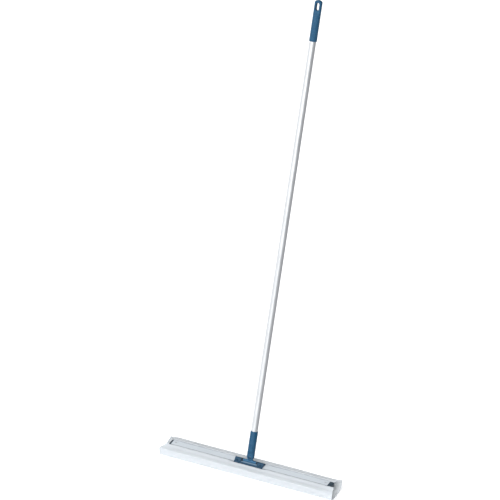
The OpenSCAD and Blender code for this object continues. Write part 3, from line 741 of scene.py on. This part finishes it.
def needled_nonwoven(name, pale, shade):
    """Matted fibres laid out on the flat sheet, with painted shade in the creases."""
    material, tree, shader = new_material(
        name, Sheen_Weight=0.15, Sheen_Roughness=0.5, Specular_IOR_Level=0.2,
        Subsurface_Weight=0.8, Subsurface_Radius=(1, 1, 1), Subsurface_Scale=0.004)
    flat_place = add_node(tree, "ShaderNodeUVMap", uv_map=cloth.data.uv_layers.active.name).outputs[0]
    fibres = add_node(tree, "ShaderNodeTexNoise", {
        "Vector": flat_place, "Scale": FIBRE_SCALE,
        "Detail": 5.0, "Roughness": 0.7, "Distortion": 3.0}).outputs[0]
    loft = add_node(tree, "ShaderNodeTexVoronoi", {
        "Vector": flat_place, "Scale": LOFT_SCALE}, feature="SMOOTH_F1").outputs[0]
    tone = add_node(tree, "ShaderNodeTexNoise", {
        "Vector": flat_place, "Scale": 30.0, "Detail": 4.0}).outputs[0]
    fibred = mix_colours(tree, ranged(tree, fibres, 0, 1, 0.35, 0.65), shade, pale)
    toned = mix_colours(tree, ranged(tree, tone, 0.35, 0.8, 0.35, 0.65), fibred, pale)
    in_crease = add_node(tree, "ShaderNodeAttribute", attribute_name="crease_shade").outputs["Fac"]
    # Painted shade: a grey darkening where the cloth is creased
    shade_mark = add_node(tree, "ShaderNodeGroup", {
        "Vector": flat_place, "Room": in_crease}, node_tree=painted_crease_shade)
    shade_painted = mix_colours(tree, shade_mark.outputs["Dust"], toned, CREASE_SHADE_GREY)
    nap = add_node(tree, "ShaderNodeMath", {0: fibres, 1: loft}, operation="ADD").outputs[0]
    finish_surface(tree, shader, shade_painted, ranged(tree, fibres, *CLOTH_ROUGHNESS), nap, 0.45, NAP_DEPTH)
    return material


# The inside gets the paler painted-light colours, the outer face and the cut edges the cloth's own
cloth.data.materials.append(needled_nonwoven("nonwoven_back_painted_light", BACKING_PAINTED_LIGHT_PALE, BACKING_PAINTED_LIGHT_DIM))
cloth.data.materials.append(needled_nonwoven("nonwoven_face", CLOTH_PALE, CLOTH_SHADE))

thickness = cloth.modifiers.new("thickness", "SOLIDIFY")
thickness.thickness = HEM_T
thickness.thickness_vertex_group = CLOTH_T / HEM_T
thickness.vertex_group = "hem"
thickness.offset = 0
thickness.material_offset = 1
thickness.material_offset_rim = 1
bpy.ops.object.modifier_apply(modifier=thickness.name)
bpy.ops.object.shade_smooth_by_angle(angle=CLOTH_SHADE_ANGLE)
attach(cloth, "head")
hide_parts("dust_cloth")


# Floor: a plain pale sheet that carries on past every view. Shiny pieces mirror
# the room below it in its place.
FLOOR_SIZE = 60.0
FLOOR_COLOUR = (0.95, 0.952, 0.955, 1)
FLOOR_GLOW = 0.28
bpy.ops.object.select_all(action="DESELECT")
bpy.ops.mesh.primitive_plane_add(size=FLOOR_SIZE)
floor = bpy.context.object
floor.name = "floor"
paper, *_ = new_material("floor_paper", Base_Color=FLOOR_COLOUR, Roughness=0.9,
                         Emission_Color=FLOOR_COLOUR, Emission_Strength=FLOOR_GLOW)
floor.data.materials.append(paper)
floor.visible_glossy = False


# Light: one broad soft lamp before the front, a weaker one at the left, and a
# pale room that goes from bright at the front left to dim at the back right.
# Seen directly, the room is an even pale grey.
KEY_TURN = 3.0
KEY_HEIGHT = 50.0
KEY_STRENGTH = 3.1
KEY_SPREAD = radians(85)
FILL_TURN = -65.0
FILL_HEIGHT = 30.0
FILL_STRENGTH = 0.7
FILL_SPREAD = radians(75)
ROOM_COLOUR = (0.96, 0.98, 1.0, 1)
ROOM_ABOVE = (0.36, 0.14)
ROOM_BELOW = (1.05, 0.36)
ROOM_AXIS = (0.6, 0.8, 0)
SPAN_ABOVE = (-0.9, 0.9)
SPAN_BELOW = (-0.9, 0.95)
HORIZON = (-0.1, 0.0)
ROOM_SEEN = 0.62


def direction(turn, height):
    """Unit vector towards a place at that turn from the front and that height, in degrees."""
    turn, height = radians(turn), radians(height)
    return Vector((sin(turn) * cos(height), -cos(turn) * cos(height), sin(height)))


def soft_lamp(name, turn, height, strength, spread):
    """A broad far lamp that shines on the mop from that side."""
    lamp = bpy.data.objects.new(name, bpy.data.lights.new(name, "SUN"))
    lamp.data.energy = strength
    lamp.data.angle = spread
    lamp.rotation_mode = "QUATERNION"
    lamp.rotation_quaternion = (-direction(turn, height)).to_track_quat("-Z", "Y")
    bpy.context.scene.collection.objects.link(lamp)


soft_lamp("key", KEY_TURN, KEY_HEIGHT, KEY_STRENGTH, KEY_SPREAD)
soft_lamp("fill", FILL_TURN, FILL_HEIGHT, FILL_STRENGTH, FILL_SPREAD)
room = bpy.data.worlds.new("room")
room.use_nodes = True
tree = room.node_tree
glow = tree.nodes["Background"]
glow.inputs["Color"].default_value = ROOM_COLOUR
facing = add_node(tree, "ShaderNodeTexCoord").outputs["Generated"]
height = add_node(tree, "ShaderNodeSeparateXYZ", {0: facing}).outputs["Z"]
across_room = add_node(tree, "ShaderNodeVectorMath", {
    0: facing, 1: ROOM_AXIS}, operation="DOT_PRODUCT").outputs["Value"]
lighting = add_node(tree, "ShaderNodeMix", {
    0: ranged(tree, height, 1, 0, *HORIZON),
    2: ranged(tree, across_room, *ROOM_ABOVE, *SPAN_ABOVE),
    3: ranged(tree, across_room, *ROOM_BELOW, *SPAN_BELOW)}).outputs[0]
seen = add_node(tree, "ShaderNodeLightPath").outputs["Is Camera Ray"]
strength = add_node(tree, "ShaderNodeMix", {0: seen, 2: lighting, 3: ROOM_SEEN}).outputs[0]
tree.links.new(strength, glow.inputs["Strength"])
bpy.context.scene.world = room
bpy.context.scene.view_settings.view_transform = "Standard"


# Camera: a long lens from the right of the front, as the photograph was taken.
VIEW_TURN = 25.737
VIEW_HEIGHT = 29.857
VIEW_DISTANCE = 11.286
LENS = 257.08
AXLE = Vector((0, 0, 0.0405))
AIM_RIGHT = -0.00124
AIM_UP = 0.6678
VIEW_ROLL = 0.0024
VIEW_END = 100.0
towards = direction(VIEW_TURN, VIEW_HEIGHT)
sideways = Vector((cos(radians(VIEW_TURN)), sin(radians(VIEW_TURN)), 0))
aim = AXLE + sideways * AIM_RIGHT + towards.cross(sideways) * AIM_UP
camera = bpy.data.objects.new("camera", bpy.data.cameras.new("camera"))
camera.data.lens = LENS
camera.data.clip_end = VIEW_END
camera.location = aim + towards * VIEW_DISTANCE
camera.rotation_mode = "QUATERNION"
camera.rotation_quaternion = (-towards).to_track_quat("-Z", "Y") @ Quaternion((0, 0, 1), VIEW_ROLL)
bpy.context.scene.collection.objects.link(camera)
bpy.context.scene.camera = camera
